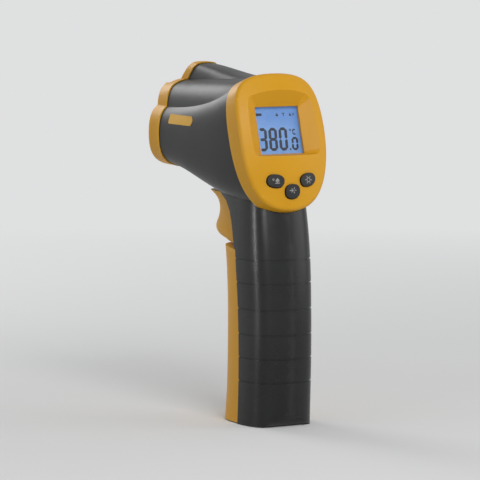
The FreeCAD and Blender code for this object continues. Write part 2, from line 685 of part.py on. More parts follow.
# ---------------------------------------------------------------- nose and optics
def nose_bezel():
    outer = head_form(-RIM_PROUD, NOSE_BACK - 10.0, NOSE_FRONT, 0.0).common(nose_region())
    under_brow = box(-40, 40, 0, 90, 80, BROW_ROOF)
    inner = head_form(WALL, NOSE_BACK - 11.0, NOSE_FRONT + 2.0, 1.0).common(under_brow)
    return less(outer, [inner, brow_slope(0.0)])


def front_panel():
    back = NOSE_FRONT - PANEL_SETBACK - PANEL_THICKNESS
    slab = box(-40, 40, back, back + PANEL_THICKNESS, 80, BROW_ROOF - SHELL_GAP)
    plate = head_form(WALL + SHELL_GAP, back - 1.0, NOSE_FRONT, 1.0).common(slab)
    mouth = rod(HOOD_MOUTH + 2 * SHELL_GAP, 10, vec(0, back - 1, SIGHT_Z), Y_AXIS)
    laser = rod(LASER_WINDOW, 10, vec(0, back - 1, LASER_Z), Y_AXIS)
    return less(plate, [mouth, laser])


def lens_hood():
    """A cone that narrows from the mouth in the front panel to the lens."""
    front = NOSE_FRONT - PANEL_SETBACK
    seat = LENS_FACE_Y + 0.1
    length = front - seat
    outer = Part.makeCone(TUBE_DIAMETER / 2, HOOD_MOUTH / 2, length, vec(0, seat, SIGHT_Z), Y_AXIS)
    inner = Part.makeCone(LENS_DIAMETER / 2 - 1.0, HOOD_MOUTH / 2 - 1.0, length, vec(0, seat, SIGHT_Z), Y_AXIS)
    return outer.cut(inner)


def fresnel_lens():
    start = vec(0, LENS_FACE_Y - LENS_THICKNESS, SIGHT_Z)
    disc = rod(LENS_DIAMETER, LENS_THICKNESS, start, Y_AXIS)
    grooves = []
    for step in range(3):
        outer = LENS_DIAMETER - 2.4 - 4.0 * step
        grooves.append(ring(outer, outer - 1.2, 0.3, vec(0, LENS_FACE_Y - 0.3, SIGHT_Z), Y_AXIS))
    return less(disc, grooves)


def lens_tube():
    back = LENS_FACE_Y - TUBE_LENGTH
    tube = rod(TUBE_DIAMETER, TUBE_LENGTH, vec(0, back, SIGHT_Z), Y_AXIS)
    bore = rod(LENS_DIAMETER - 2 * LENS_LEDGE, TUBE_LENGTH, vec(0, back, SIGHT_Z), Y_AXIS)
    seat_y = LENS_FACE_Y - LENS_THICKNESS
    seat = rod(LENS_DIAMETER + 0.1, LENS_THICKNESS + 1, vec(0, seat_y, SIGHT_Z), Y_AXIS)
    flange = box(-TUBE_FLANGE_HALF_WIDTH, TUBE_FLANGE_HALF_WIDTH, back, back + TUBE_FLANGE,
                 SIGHT_Z - TUBE_FLANGE_HALF_HEIGHT, SIGHT_Z + TUBE_FLANGE_HALF_HEIGHT)
    can_space = rod(CAN_DIAMETER + 0.3, TUBE_FLANGE, vec(0, back, SIGHT_Z), Y_AXIS)
    return less(tube.fuse(flange), [bore, seat, can_space])


def lens_retainer():
    start = vec(0, LENS_FACE_Y - TUBE_LENGTH + 8.0, SIGHT_Z)
    outer = LENS_DIAMETER - 2 * LENS_LEDGE
    return ring(outer, outer - RETAINER_RIM, RETAINER_LENGTH, start, Y_AXIS)


def sensor_board():
    back = LENS_FACE_Y - TUBE_LENGTH - SENSOR_BOARD_THICKNESS
    half = SENSOR_BOARD / 2
    return box(-half, half, back, back + SENSOR_BOARD_THICKNESS, SIGHT_Z - half, SIGHT_Z + half)


def thermopile_sensor():
    """A metal can with a flange and an infrared filter window."""
    back = LENS_FACE_Y - TUBE_LENGTH
    flange = rod(CAN_DIAMETER, 0.6, vec(0, back, SIGHT_Z), Y_AXIS)
    can = rod(CAN_DIAMETER - 1.0, CAN_HEIGHT, vec(0, back, SIGHT_Z), Y_AXIS)
    window = rod(4.0, 0.4, vec(0, back + CAN_HEIGHT - 0.4, SIGHT_Z), Y_AXIS)
    return flange.fuse(can).cut(window)


def laser_module():
    front = NOSE_FRONT - PANEL_SETBACK - PANEL_THICKNESS - 1.2
    barrel_part = rod(LASER_DIAMETER, LASER_LENGTH, vec(0, front - LASER_LENGTH, LASER_Z), Y_AXIS)
    bore = rod(2.4, 2.0, vec(0, front - 2.0, LASER_Z), Y_AXIS)
    return barrel_part.cut(bore)


def laser_window():
    back = NOSE_FRONT - PANEL_SETBACK - PANEL_THICKNESS
    return rod(LASER_WINDOW - 0.06, 1.4, vec(0, back, LASER_Z), Y_AXIS)


def laser_clamp():
    """A moulded block round the laser, seated on the lens tube."""
    middle = LENS_FACE_Y - 4.0
    low = SIGHT_Z + TUBE_DIAMETER / 2 - 1.2
    block = box(-4.6, 4.6, middle - 3.5, middle + 3.5, low, LASER_Z + 4.0)
    hole = rod(LASER_DIAMETER + 0.04, 12.0, vec(0, middle - 6.0, LASER_Z), Y_AXIS)
    saddle = rod(TUBE_DIAMETER + 0.04, 12.0, vec(0, middle - 6.0, SIGHT_Z), Y_AXIS)
    return less(block, [hole, saddle])


# ---------------------------------------------------------------- display, keys and main board
def oval(length, width, x, y, tilt, low, high):
    turn = math.radians(tilt)
    placed = []
    for quarter in loop(length / 2, width / 2, width / 2, KEY_EXPONENT, KEY_EXPONENT):
        placed.append([vec(x + u * math.cos(turn) - v * math.sin(turn),
                           y + u * math.sin(turn) + v * math.cos(turn), low) for u, v in quarter])
    return Part.Face(closed_spline(placed)).extrude(vec(0, 0, high - low))


KEYS = {
    "key_left": (KEY_LENGTH, KEY_WIDTH, -KEY_SIDE_X, KEY_SIDE_Y, -KEY_TILT),
    "key_middle": (KEY_MIDDLE_LENGTH, KEY_MIDDLE_WIDTH, 0.0, KEY_MIDDLE_Y, 0.0),
    "key_right": (KEY_LENGTH, KEY_WIDTH, KEY_SIDE_X, KEY_SIDE_Y, KEY_TILT),
}


def key_oval(name, grow, low, high):
    length, width, x, y, tilt = KEYS[name]
    return oval(length + 2 * grow, width + 2 * grow, x, y, tilt, low, high)


def key(name):
    cap = key_oval(name, 0.0, KEY_UNDERSIDE, 20.0).common(barrel(KEY_PROUD))
    flange = key_oval(name, KEY_FLANGE, KEY_UNDERSIDE, 20.0).common(barrel(-BEZEL_FACE - SHELL_GAP))
    x, y = KEYS[name][2], KEYS[name][3]
    low = BOARD_FACE + SWITCH_HEIGHT + SWITCH_STEM + KEY_TRAVEL + 0.1
    stem = rod(2.6, KEY_UNDERSIDE + 0.5 - low, vec(x, y, low), Z_AXIS)
    return on_bezel(joined([cap, flange, stem]))


def pocket():
    """The sloped frame that sinks from the face to the display."""
    rise = 9.0
    scale = rise / POCKET_SIDE_DEPTH
    end_scale = rise / POCKET_END_DEPTH
    inner = pocket_wire(0.0, 0.0, 0.0, POCKET_FLOOR, 1.0)
    outer = pocket_wire(POCKET_SIDE * scale, POCKET_TOP * end_scale, POCKET_BOTTOM * end_scale,
                        POCKET_FLOOR + rise, 5.0)
    return Part.makeLoft([inner, outer], True, True)


def pocket_wire(side, top, bottom, level, radius):
    half = GLASS_WIDTH / 2 + side
    high = GLASS_RAISE + GLASS_HEIGHT / 2 + top
    low = GLASS_RAISE - GLASS_HEIGHT / 2 - bottom
    corners = [(half - radius, high - radius, 0), (-half + radius, high - radius, 90),
               (-half + radius, low + radius, 180), (half - radius, low + radius, 270)]
    edges = []
    last = None
    first = None
    for x, y, start in corners:
        arc = Part.makeCircle(radius, vec(x, y, level), Z_AXIS, start, start + 90)
        begin, end = arc.Vertexes[0].Point, arc.Vertexes[-1].Point
        if last is None:
            first = begin
        else:
            edges.append(Part.makeLine(last, begin))
        edges.append(arc)
        last = end
    edges.append(Part.makeLine(last, first))
    return Part.Wire(edges)


def glass_box(grow, low, high):
    half = GLASS_WIDTH / 2 + grow
    up = GLASS_RAISE + GLASS_HEIGHT / 2 + grow
    down = GLASS_RAISE - GLASS_HEIGHT / 2 - grow
    return box(-half, half, down, up, low, high)


def display_bezel():
    solid = Part.Face(egg_wire(0.0, -BEZEL_DEPTH)).extrude(vec(0, 0, 20)).common(barrel(0.0))
    rim = [edge for edge in solid.Edges if edge.BoundBox.ZMax > -BEZEL_DEPTH + 1.0 and edge.Length > 30.0]
    solid = solid.makeFillet(BEZEL_SHOULDER, rim)
    hollow = Part.Face(egg_wire(BEZEL_WALL, -BEZEL_DEPTH - 1)).extrude(vec(0, 0, 20))
    hollow = hollow.common(barrel(-BEZEL_FACE))
    frame = glass_box(POCKET_SIDE + 0.8, POCKET_FLOOR - LIP, 20.0).common(barrel(-0.5))
    bosses = [rod(BOARD_BOSS, 20, vec(x, y, BOARD_FACE), Z_AXIS).common(barrel(-0.5)) for x, y in BOARD_BOSSES]
    shell = joined([solid.cut(hollow), frame] + bosses)
    holes = [rod(BOARD_SCREW + 0.04, 5.6, vec(x, y, BOARD_FACE - 1), Z_AXIS) for x, y in BOARD_BOSSES]
    pane = glass_box(PANE_BORDER + SHELL_GAP, POCKET_FLOOR - LIP - 10.0, POCKET_FLOOR - LIP)
    keys = [key_oval(name, SLIDE_GAP, -3.0, 20.0) for name in KEYS]
    opening = glass_box(0.0, -10.0, 10.0)
    return on_bezel(less(shell, holes + keys + [pocket(), opening, pane]))


def display_window():
    top = POCKET_FLOOR - LIP
    return on_bezel(glass_box(PANE_BORDER, top - PANE_THICKNESS, top))


def lcd_glass():
    top = POCKET_FLOOR - LIP - PANE_THICKNESS
    return on_bezel(glass_box(LCD_BORDER, top - LCD_THICKNESS, top))


def backlight_panel():
    top = POCKET_FLOOR - LIP - PANE_THICKNESS - LCD_THICKNESS
    return on_bezel(glass_box(LCD_BORDER, top - BACKLIGHT_THICKNESS, top))


def lcd_holder():
    top = POCKET_FLOOR - LIP - PANE_THICKNESS - 0.1
    outer = glass_box(LCD_BORDER + HOLDER_WALL, BOARD_FACE, top)
    return on_bezel(outer.cut(glass_box(LCD_BORDER + 0.05, BOARD_FACE + 0.4, top + 1)))


def main_board():
    plate = Part.Face(egg_wire(BOARD_INSET, BOARD_FACE - BOARD_THICKNESS)).extrude(vec(0, 0, BOARD_THICKNESS))
    holes = [rod(BOARD_SCREW + 0.1, 5, vec(x, y, BOARD_FACE - 3), Z_AXIS) for x, y in BOARD_BOSSES]
    return on_bezel(less(plate, holes))


def board_screws():
    screws = []
    for x, y in BOARD_BOSSES:
        low = BOARD_FACE - BOARD_THICKNESS
        shaft = rod(BOARD_SCREW, BOARD_THICKNESS + 4.0, vec(x, y, low), Z_AXIS)
        cap = rod(BOARD_SCREW_HEAD, 1.3, vec(x, y, low - 1.3), Z_AXIS)
        screws.append(on_bezel(shaft.fuse(cap)))
    return Part.makeCompound(screws)


def key_switches():
    switches = []
    half = SWITCH_SIZE / 2
    for length, width, x, y, tilt in KEYS.values():
        case = box(x - half, x + half, y - half, y + half, BOARD_FACE, BOARD_FACE + SWITCH_HEIGHT)
        stem = rod(2.2, SWITCH_STEM, vec(x, y, BOARD_FACE + SWITCH_HEIGHT), Z_AXIS)
        switches.append(on_bezel(case.fuse(stem)))
    return Part.makeCompound(switches)


def microcontroller():
    low = BOARD_FACE - BOARD_THICKNESS - CHIP_HEIGHT
    half = CHIP_SIZE / 2
    return on_bezel(box(-half, half, 1.0 - half, 1.0 + half, low, BOARD_FACE - BOARD_THICKNESS))


def buzzer():
    low = BOARD_FACE - BOARD_THICKNESS - BUZZER_HEIGHT
    case = rod(BUZZER_DIAMETER, BUZZER_HEIGHT, vec(0, BUZZER_Y, low), Z_AXIS)
    hole = rod(1.6, 0.6, vec(0, BUZZER_Y, low), Z_AXIS)
    return on_bezel(case.cut(hole))


# ---------------------------------------------------------------- the separate pieces
whole_housing = housing()
save("housing_left", whole_housing.common(box(-60, 0, -60, 90, -5, 170)))
save("housing_right", whole_housing.common(box(0, 60, -60, 90, -5, 170)))
save("housing_screws", housing_screws())
save("nose_bezel", nose_bezel())
save("front_panel", front_panel())
save("lens_hood", lens_hood())
save("fresnel_lens", fresnel_lens())
save("lens_tube", lens_tube())
save("lens_retainer", lens_retainer())
save("sensor_board", sensor_board())
save("thermopile_sensor", thermopile_sensor())
save("laser_module", laser_module())
save("laser_window", laser_window())
save("laser_clamp", laser_clamp())
save("display_bezel", display_bezel())
save("display_window", display_window())
save("lcd_glass", lcd_glass())
save("backlight_panel", backlight_panel())
save("lcd_holder", lcd_holder())
save("main_board", main_board())
save("board_screws", board_screws())
save("key_switches", key_switches())
save("microcontroller", microcontroller())
save("buzzer", buzzer())
for key_name in KEYS:
    save(key_name, key(key_name))
save("trigger", trigger())
save("trigger_pin", trigger_pin_rod(0.0))
save("trigger_spring", trigger_spring())
save("trigger_switch", trigger_switch())
save("switch_plunger", switch_plunger())
save("switch_carrier", switch_carrier())
save("battery_door", battery_door())
save("door_hinge_pin", door_pin_rod(0.0))
save("battery_tray", battery_tray())
save("battery_cell_left", battery_cell(-1))
save("battery_cell_right", battery_cell(1))
save("battery_contacts", battery_contacts())
save("contact_spring_left", contact_spring(-1))
save("contact_spring_right", contact_spring(1))
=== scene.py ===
"""Looks of the pistol-grip infrared thermometer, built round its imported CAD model."""

import json
import math

import bpy
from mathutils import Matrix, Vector
from mathutils.bvhtree import BVHTree


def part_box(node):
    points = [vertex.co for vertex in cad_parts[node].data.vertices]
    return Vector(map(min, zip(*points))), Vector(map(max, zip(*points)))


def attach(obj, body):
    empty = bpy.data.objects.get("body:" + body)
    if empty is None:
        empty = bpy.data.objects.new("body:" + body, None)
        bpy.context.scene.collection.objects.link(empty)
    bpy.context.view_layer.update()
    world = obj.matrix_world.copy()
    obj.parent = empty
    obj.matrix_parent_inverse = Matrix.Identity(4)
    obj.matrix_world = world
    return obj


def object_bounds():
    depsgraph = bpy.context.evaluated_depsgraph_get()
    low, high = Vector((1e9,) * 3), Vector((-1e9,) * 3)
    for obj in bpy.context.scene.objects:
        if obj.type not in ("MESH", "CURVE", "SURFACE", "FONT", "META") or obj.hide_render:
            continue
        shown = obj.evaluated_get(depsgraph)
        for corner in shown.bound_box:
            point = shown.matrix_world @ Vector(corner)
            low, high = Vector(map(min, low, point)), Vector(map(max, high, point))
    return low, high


MM = 0.001

# ---------------------------------------------------------------- colours (linear)
YELLOW = (0.62, 0.297, 0.009)
YELLOW_WORN = (0.68, 0.37, 0.030)
BLACK = (0.0085, 0.0088, 0.0095)
BLACK_WORN = (0.024, 0.024, 0.025)
RUBBER_BLACK = (0.0055, 0.0055, 0.006)
RUBBER_WORN = (0.016, 0.016, 0.016)
BOARD_GREEN = (0.012, 0.10, 0.045)
BOARD_GREEN_PALE = (0.016, 0.13, 0.06)
TRACE_GREEN = (0.05, 0.24, 0.11)
LCD_BLUE = (0.120, 0.235, 0.47)
LCD_BLUE_DEEP = (0.08, 0.18, 0.41)
LCD_GLOW = 0.46         # strength of the light that the display gives out
FLOOR_COLOUR = (0.72, 0.72, 0.715)
BACKDROP = (0.74, 0.745, 0.75)
SKYLIGHT = (0.97, 0.985, 1.0)

# ---------------------------------------------------------------- pattern scales (cells per metre)
CLOUDS = 55.0
HOUSING_CLOUDS = 45.0
MOULD_GRAIN = 2600.0
HOUSING_GRAIN = 1500.0
RUBBER_CLOUDS = 320.0
RUBBER_GRAIN = 3800.0
METAL_MARKS = 900.0
BOARD_TRACES = 420.0
TRACE_WIDTH = 0.012     # share of a cell
BOARD_CLOUDS = 400.0
WINDOW_SMEAR = 120.0
LCD_CLOUDS = 90.0
INK_SPECK = 1500.0
FLOOR_CLOUDS = 6.0

# ---------------------------------------------------------------- camera, lamps and floor
CAMERA_AZIMUTH = -30.0
CAMERA_ELEVATION = 5.5
CAMERA_DISTANCE = 1.5
CAMERA_LENS = 262.0
LAMPS = (               # name, place, watts, width, height, whether it shows only in gloss
    ("key", (-0.20, -0.86, 0.72), 5.6, 0.45, 0.45, False),
    ("fill", (0.80, -0.55, 0.35), 1.8, 0.6, 0.6, False),
    ("front", (-0.14, 0.93, 0.50), 3.0, 0.4, 0.4, False),
    ("glint", (-0.587, -0.640, 0.411), 2.3, 0.28, 0.28, True),
    ("edge", (-0.82, 0.17, 0.10), 2.2, 0.07, 0.5, True),
)
SKYLIGHT_STRENGTH = 0.42
FLOOR_HALF = 6.0
FADE_START = 0.16       # between these distances from the object, the floor turns into the backdrop
FADE_END = 0.9

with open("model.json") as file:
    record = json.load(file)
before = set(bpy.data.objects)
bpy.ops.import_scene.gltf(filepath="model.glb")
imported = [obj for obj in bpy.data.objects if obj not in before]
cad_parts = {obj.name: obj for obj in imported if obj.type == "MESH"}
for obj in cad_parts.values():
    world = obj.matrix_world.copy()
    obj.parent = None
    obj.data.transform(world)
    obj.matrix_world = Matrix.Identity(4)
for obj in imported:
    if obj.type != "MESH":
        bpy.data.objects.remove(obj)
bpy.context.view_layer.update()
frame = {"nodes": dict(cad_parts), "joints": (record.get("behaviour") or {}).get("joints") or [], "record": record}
nodes = frame["nodes"]


# ---------------------------------------------------------------- material helpers
def new_material(name):
    material = bpy.data.materials.new(name)
    material.use_nodes = True
    return material, material.node_tree, material.node_tree.nodes["Principled BSDF"]


def add(tree, kind, **settings):
    node = tree.nodes.new(kind)
    for key, value in settings.items():
        setattr(node, key, value)
    return node


def maths(tree, operation, first, second):
    """One Math node over two linked values."""
    node = add(tree, "ShaderNodeMath", operation=operation)
    tree.links.new(first, node.inputs[0])
    tree.links.new(second, node.inputs[1])
    return node.outputs[0]


def object_coordinates(tree, scale=(1.0, 1.0, 1.0)):
    """Object coordinates in metres; every piece's object sits at the origin."""
    source = add(tree, "ShaderNodeTexCoord")
    mapping = add(tree, "ShaderNodeMapping")
    mapping.inputs["Scale"].default_value = scale
    tree.links.new(source.outputs["Object"], mapping.inputs["Vector"])
    return mapping.outputs["Vector"]


def noise(tree, vector, scale, detail=3.0):
    node = add(tree, "ShaderNodeTexNoise")
    node.inputs["Scale"].default_value = scale
    node.inputs["Detail"].default_value = detail
    node.inputs["Roughness"].default_value = 0.55
    tree.links.new(vector, node.inputs["Vector"])
    return node.outputs["Fac"]


def spread(tree, value, low, high, out_low, out_high):
    node = add(tree, "ShaderNodeMapRange")
    node.inputs["From Min"].default_value = low
    node.inputs["From Max"].default_value = high
    node.inputs["To Min"].default_value = out_low
    node.inputs["To Max"].default_value = out_high
    tree.links.new(value, node.inputs["Value"])
    return node.outputs["Result"]


def vary(tree, pattern, out_low, out_high):
    """From out_low to out_high over the range that most of a noise pattern lies in."""
    return spread(tree, pattern, 0.3, 0.7, out_low, out_high)


def patches(tree, pattern, most, low=0.35, high=0.7):
    """0 in the low parts of a noise pattern, rising to most in its high ones."""
    return spread(tree, pattern, low, high, 0.0, most)


def mix_colour(tree, factor, first, second):
    node = add(tree, "ShaderNodeMix", data_type="RGBA")
    tree.links.new(factor, node.inputs["Factor"])
    for socket, value in ((node.inputs[6], first), (node.inputs[7], second)):
        if isinstance(value, tuple):
            socket.default_value = (*value, 1.0)
        else:
            tree.links.new(value, socket)
    return node.outputs[2]


def bump(tree, shader, height, strength, distance):
    node = add(tree, "ShaderNodeBump")
    node.inputs["Strength"].default_value = strength
    node.inputs["Distance"].default_value = distance
    tree.links.new(height, node.inputs["Height"])
    tree.links.new(node.outputs["Normal"], shader.inputs["Normal"])


def worn_colour(tree, clouds, colour, worn, most, flat, sharp):
    """A slightly cloudy colour that is rubbed to the worn one on sharp convex edges.

    flat and sharp are the mesh's pointiness where the rubbing starts and where it is full.
    """
    cloudy = mix_colour(tree, patches(tree, clouds, most), colour, worn)
    geometry = add(tree, "ShaderNodeNewGeometry")
    rubbed = spread(tree, geometry.outputs["Pointiness"], flat, sharp, 0.0, 1.0)
    return mix_colour(tree, rubbed, cloudy, worn)


# ---------------------------------------------------------------- materials
def moulded_plastic(name, colour, worn, roughness, grain_depth=0.03 * MM, specular=0.5):
    """Moulded plastic: a fine spark-eroded grain, cloudy gloss and slightly rubbed edges."""
    material, tree, shader = new_material(name)
    vector = object_coordinates(tree)
    clouds = noise(tree, vector, CLOUDS, 4.0)
    tone = worn_colour(tree, clouds, colour, worn, most=0.22, flat=0.53, sharp=0.60)
    tree.links.new(tone, shader.inputs["Base Color"])
    tree.links.new(vary(tree, clouds, roughness - 0.05, roughness + 0.07), shader.inputs["Roughness"])
    shader.inputs["Specular IOR Level"].default_value = specular
    bump(tree, shader, noise(tree, vector, MOULD_GRAIN, 2.0), 0.35, grain_depth)
    return material


# Between these heights the grip's satin turns into the head's duller finish.
HEAD_START = 92.0 * MM
HEAD_FULL = 112.0 * MM
HEAD_DULLER = 0.16              # what the head's finish adds to the roughness
HOUSING_SPECULAR = 0.34


def housing_plastic(name, colour, worn):
    """The black housing: satin on the grip, and duller on the head."""
    material, tree, shader = new_material(name)
    vector = object_coordinates(tree)
    clouds = noise(tree, vector, HOUSING_CLOUDS, 4.0)
    tone = worn_colour(tree, clouds, colour, worn, most=0.2, flat=0.54, sharp=0.62)
    tree.links.new(tone, shader.inputs["Base Color"])
    place = add(tree, "ShaderNodeSeparateXYZ")
    tree.links.new(vector, place.inputs[0])
    duller = spread(tree, place.outputs["Z"], HEAD_START, HEAD_FULL, 0.0, HEAD_DULLER)
    roughness = maths(tree, "ADD", duller, vary(tree, clouds, 0.25, 0.33))
    tree.links.new(roughness, shader.inputs["Roughness"])
    shader.inputs["Specular IOR Level"].default_value = HOUSING_SPECULAR
    bump(tree, shader, noise(tree, vector, HOUSING_GRAIN, 2.0), 0.25, 0.01 * MM)
    return material


def rubber(name, colour, worn):
    """Matt rubber in uneven patches, with a very fine grain."""
    material, tree, shader = new_material(name)
    vector = object_coordinates(tree)
    clouds = noise(tree, vector, RUBBER_CLOUDS)
    tone = mix_colour(tree, patches(tree, clouds, 0.5, low=0.4, high=0.75), colour, worn)
    tree.links.new(tone, shader.inputs["Base Color"])
    tree.links.new(vary(tree, clouds, 0.42, 0.6), shader.inputs["Roughness"])
    bump(tree, shader, noise(tree, vector, RUBBER_GRAIN, 2.0), 0.25, 0.02 * MM)
    return material


def metal(name, colour, roughness, stretch):
    """Bare metal with fine marks, drawn out along the way whose stretch is under 1."""
    material, tree, shader = new_material(name)
    vector = object_coordinates(tree, stretch)
    marks = noise(tree, vector, METAL_MARKS, 4.0)
    dark = tuple(part * 0.78 for part in colour)
    tone = mix_colour(tree, patches(tree, marks, 1.0), dark, colour)
    tree.links.new(tone, shader.inputs["Base Color"])
    tree.links.new(vary(tree, marks, roughness * 0.7, roughness * 1.4), shader.inputs["Roughness"])
    shader.inputs["Metallic"].default_value = 1.0
    bump(tree, shader, marks, 0.15, 0.02 * MM)
    return material


def circuit_board(name):
    """Green solder resist over a pattern of paler traces."""
    material, tree, shader = new_material(name)
    vector = object_coordinates(tree)
    traces = add(tree, "ShaderNodeTexBrick")
    traces.inputs["Scale"].default_value = BOARD_TRACES
    traces.inputs["Color1"].default_value = (*BOARD_GREEN, 1.0)
    traces.inputs["Color2"].default_value = (*BOARD_GREEN_PALE, 1.0)
    traces.inputs["Mortar"].default_value = (*TRACE_GREEN, 1.0)
    traces.inputs["Mortar Size"].default_value = TRACE_WIDTH
    tree.links.new(vector, traces.inputs["Vector"])
    tree.links.new(traces.outputs["Color"], shader.inputs["Base Color"])
    clouds = noise(tree, vector, BOARD_CLOUDS)
    tree.links.new(vary(tree, clouds, 0.22, 0.4), shader.inputs["Roughness"])
    return material


def clear_window(name, colour, alpha, roughness):
    """A clear, milky or tinted moulding with slightly smeared gloss."""
    material, tree, shader = new_material(name)
    vector = object_coordinates(tree)
    smear = noise(tree, vector, WINDOW_SMEAR, 4.0)
    pale = tuple(min(1.0, part * 1.1) for part in colour)
    tree.links.new(mix_colour(tree, smear, colour, pale), shader.inputs["Base Color"])
    tree.links.new(vary(tree, smear, roughness, roughness + 0.06), shader.inputs["Roughness"])
    shader.inputs["Alpha"].default_value = alpha
    return material


def backlit_display(name):
    """Blue backlit glass whose light is slightly uneven."""
    material, tree, shader = new_material(name)
    vector = object_coordinates(tree)
    clouds = noise(tree, vector, LCD_CLOUDS, 2.0)
    tone = mix_colour(tree, vary(tree, clouds, 0.0, 0.6), LCD_BLUE, LCD_BLUE_DEEP)
    tree.links.new(tone, shader.inputs["Base Color"])
    tree.links.new(tone, shader.inputs["Emission Color"])
    shader.inputs["Emission Strength"].default_value = LCD_GLOW
    tree.links.new(vary(tree, clouds, 0.25, 0.4), shader.inputs["Roughness"])
    return material


def ink(name, colour):
    """A printed colour, or painted shade that stands in for a sunk recess, with a fine speck."""
    material, tree, shader = new_material(name)
    vector = object_coordinates(tree)
    speck = noise(tree, vector, INK_SPECK, 2.0)
    faded = tuple(part * 0.75 + 0.01 for part in colour)
    tone = mix_colour(tree, patches(tree, speck, 0.35), colour, faded)
    tree.links.new(tone, shader.inputs["Base Color"])
    tree.links.new(vary(tree, speck, 0.4, 0.6), shader.inputs["Roughness"])
    return material


PLASTICS = (            # name, colour, worn colour, roughness
    ("panel_black", (0.013, 0.013, 0.014), (0.03, 0.03, 0.03), 0.5),
    ("hood_black", (0.008, 0.008, 0.008), (0.02, 0.02, 0.02), 0.62),
    ("backlight_white", (0.75, 0.78, 0.82), (0.85, 0.87, 0.9), 0.3),
    ("holder_white", (0.62, 0.62, 0.6), (0.72, 0.72, 0.7), 0.45),
    ("switch_black", (0.02, 0.02, 0.02), (0.04, 0.04, 0.04), 0.3),
    ("plunger_white", (0.6, 0.6, 0.57), (0.7, 0.7, 0.67), 0.4),
    ("cell_case", (0.22, 0.23, 0.25), (0.32, 0.33, 0.35), 0.3),
)
WINDOWS = (             # name, colour, opacity, roughness
    ("window_clear", (0.70, 0.80, 1.0), 0.02, 0.03),
    ("lens_plastic", (0.55, 0.54, 0.5), 0.85, 0.25),
    ("window_red", (0.20, 0.012, 0.01), 0.75, 0.06),
)
METALS = (              # name, colour, roughness, stretch of the marks' pattern
    ("can_metal", (0.62, 0.61, 0.6), 0.22, (1.0, 1.0, 1.0)),
    ("laser_brass", (0.66, 0.46, 0.17), 0.26, (1.0, 0.1, 1.0)),
    ("screw_steel", (0.42, 0.42, 0.43), 0.32, (1.0, 1.0, 1.0)),
    ("pin_steel", (0.5, 0.5, 0.51), 0.25, (0.1, 1.0, 1.0)),
    ("contact_nickel", (0.58, 0.56, 0.52), 0.28, (1.0, 1.0, 1.0)),
)
INKS = (                # name, colour
    ("sign_ink", (0.36, 0.35, 0.32)),
    ("digit_ink", (0.004, 0.007, 0.020)),
    # painted shade: the near-black of the screw heads' cross recesses, put on as a thin plate
    ("painted_recess_shade", (0.012, 0.012, 0.013)),
)

MATERIALS = {
    "body_black": housing_plastic("body_black", BLACK, BLACK_WORN),
    "trim_yellow": moulded_plastic("trim_yellow", YELLOW, YELLOW_WORN, 0.40,
                                   grain_depth=0.02 * MM, specular=0.20),
    "key_rubber": rubber("key_rubber", RUBBER_BLACK, RUBBER_WORN),
    "lcd_blue": backlit_display("lcd_blue"),
    "board_green": circuit_board("board_green"),
}
for make, finishes in ((moulded_plastic, PLASTICS), (clear_window, WINDOWS), (metal, METALS), (ink, INKS)):
    for finish in finishes:
        MATERIALS[finish[0]] = make(*finish)


def dress_cad_nodes():
    slots = {entry["node"]: entry["material_slot"] for entry in frame["record"]["subparts"]}
    for name, node in nodes.items():
        for holder in node.material_slots:
            holder.material = MATERIALS[slots[name]]


# ---------------------------------------------------------------- outlines
def rectangle(x0, y0, x1, y1):
    return [(x0, y0), (x1, y0), (x1, y1), (x0, y1)]


def circle_point(x, y, radius, step, count):
    angle = 2 * math.pi * step / count
    return x + radius * math.cos(angle), y + radius * math.sin(angle)


def disc(x, y, radius, count=16):
    return [circle_point(x, y, radius, step, count) for step in range(count)]


def ring(x, y, radius, width, count=16):
    """A flat ring, as one outline for each step round it."""
    inner = radius - width
    return [[circle_point(x, y, radius, step, count), circle_point(x, y, radius, step + 1, count),
             circle_point(x, y, inner, step + 1, count), circle_point(x, y, inner, step, count)]
            for step in range(count)]


def turned(outline, degrees, x=0.0, y=0.0):
    """The outline turned about its own origin, which then lies at x, y."""
    c, s = math.cos(math.radians(degrees)), math.sin(math.radians(degrees))
    return [(x + u * c - v * s, y + u * s + v * c) for u, v in outline]


def scaled(outline, factor):
    return [(u * factor, v * factor) for u, v in outline]


def softened(corners, cuts, steps=5):
    """A closed outline whose corners are cut back by their own lengths and curved."""
    outline = []
    for index, (corner, cut) in enumerate(zip(corners, cuts)):
        here = Vector(corner)
        before = (Vector(corners[index - 1]) - here).normalized() * cut
        after = (Vector(corners[(index + 1) % len(corners)]) - here).normalized() * cut
        for step in range(steps + 1):
            share = step / steps
            point = here + before * (1 - share) ** 2 + after * share ** 2
            outline.append((point.x, point.y))
    return outline


def clipped(outline, low, high):
    """The part of a convex outline between two u values."""
    for limit, sign in ((low, 1.0), (high, -1.0)):
        kept = []
        for index, point in enumerate(outline):
            before = outline[index - 1]
            inside = sign * (point[0] - limit) >= 0
            inside_before = sign * (before[0] - limit) >= 0
            if inside != inside_before:
                share = (limit - before[0]) / (point[0] - before[0])
                kept.append((limit, before[1] + share * (point[1] - before[1])))
            if inside:
                kept.append(point)
        outline = kept
    return outline


def sliced(outline, count):
    """A convex outline as strips side by side, so that a plate can follow a curved surface."""
    left, right = min(u for u, v in outline), max(u for u, v in outline)
    cuts = [left + (right - left) * step / count for step in range(count + 1)]
    return [clipped(outline, low, high) for low, high in zip(cuts, cuts[1:])]


# ---------------------------------------------------------------- thin plates
PROBE = 10.0 * MM       # a ray that looks for a surface starts this far out from the given origin


def edges_of(outline):
    """The outline's edges, with their points rounded so that equal ones compare equal."""
    points = [(round(u, 8), round(v, 8)) for u, v in outline]
    return list(zip(points, points[1:] + points[:1]))


def shared_edges(outlines):
    """The edges that two neighbouring outlines share, in both their directions."""
    edges = {edge for outline in outlines for edge in edges_of(outline)}
    return {(start, end) for start, end in edges if start != end and (end, start) in edges}


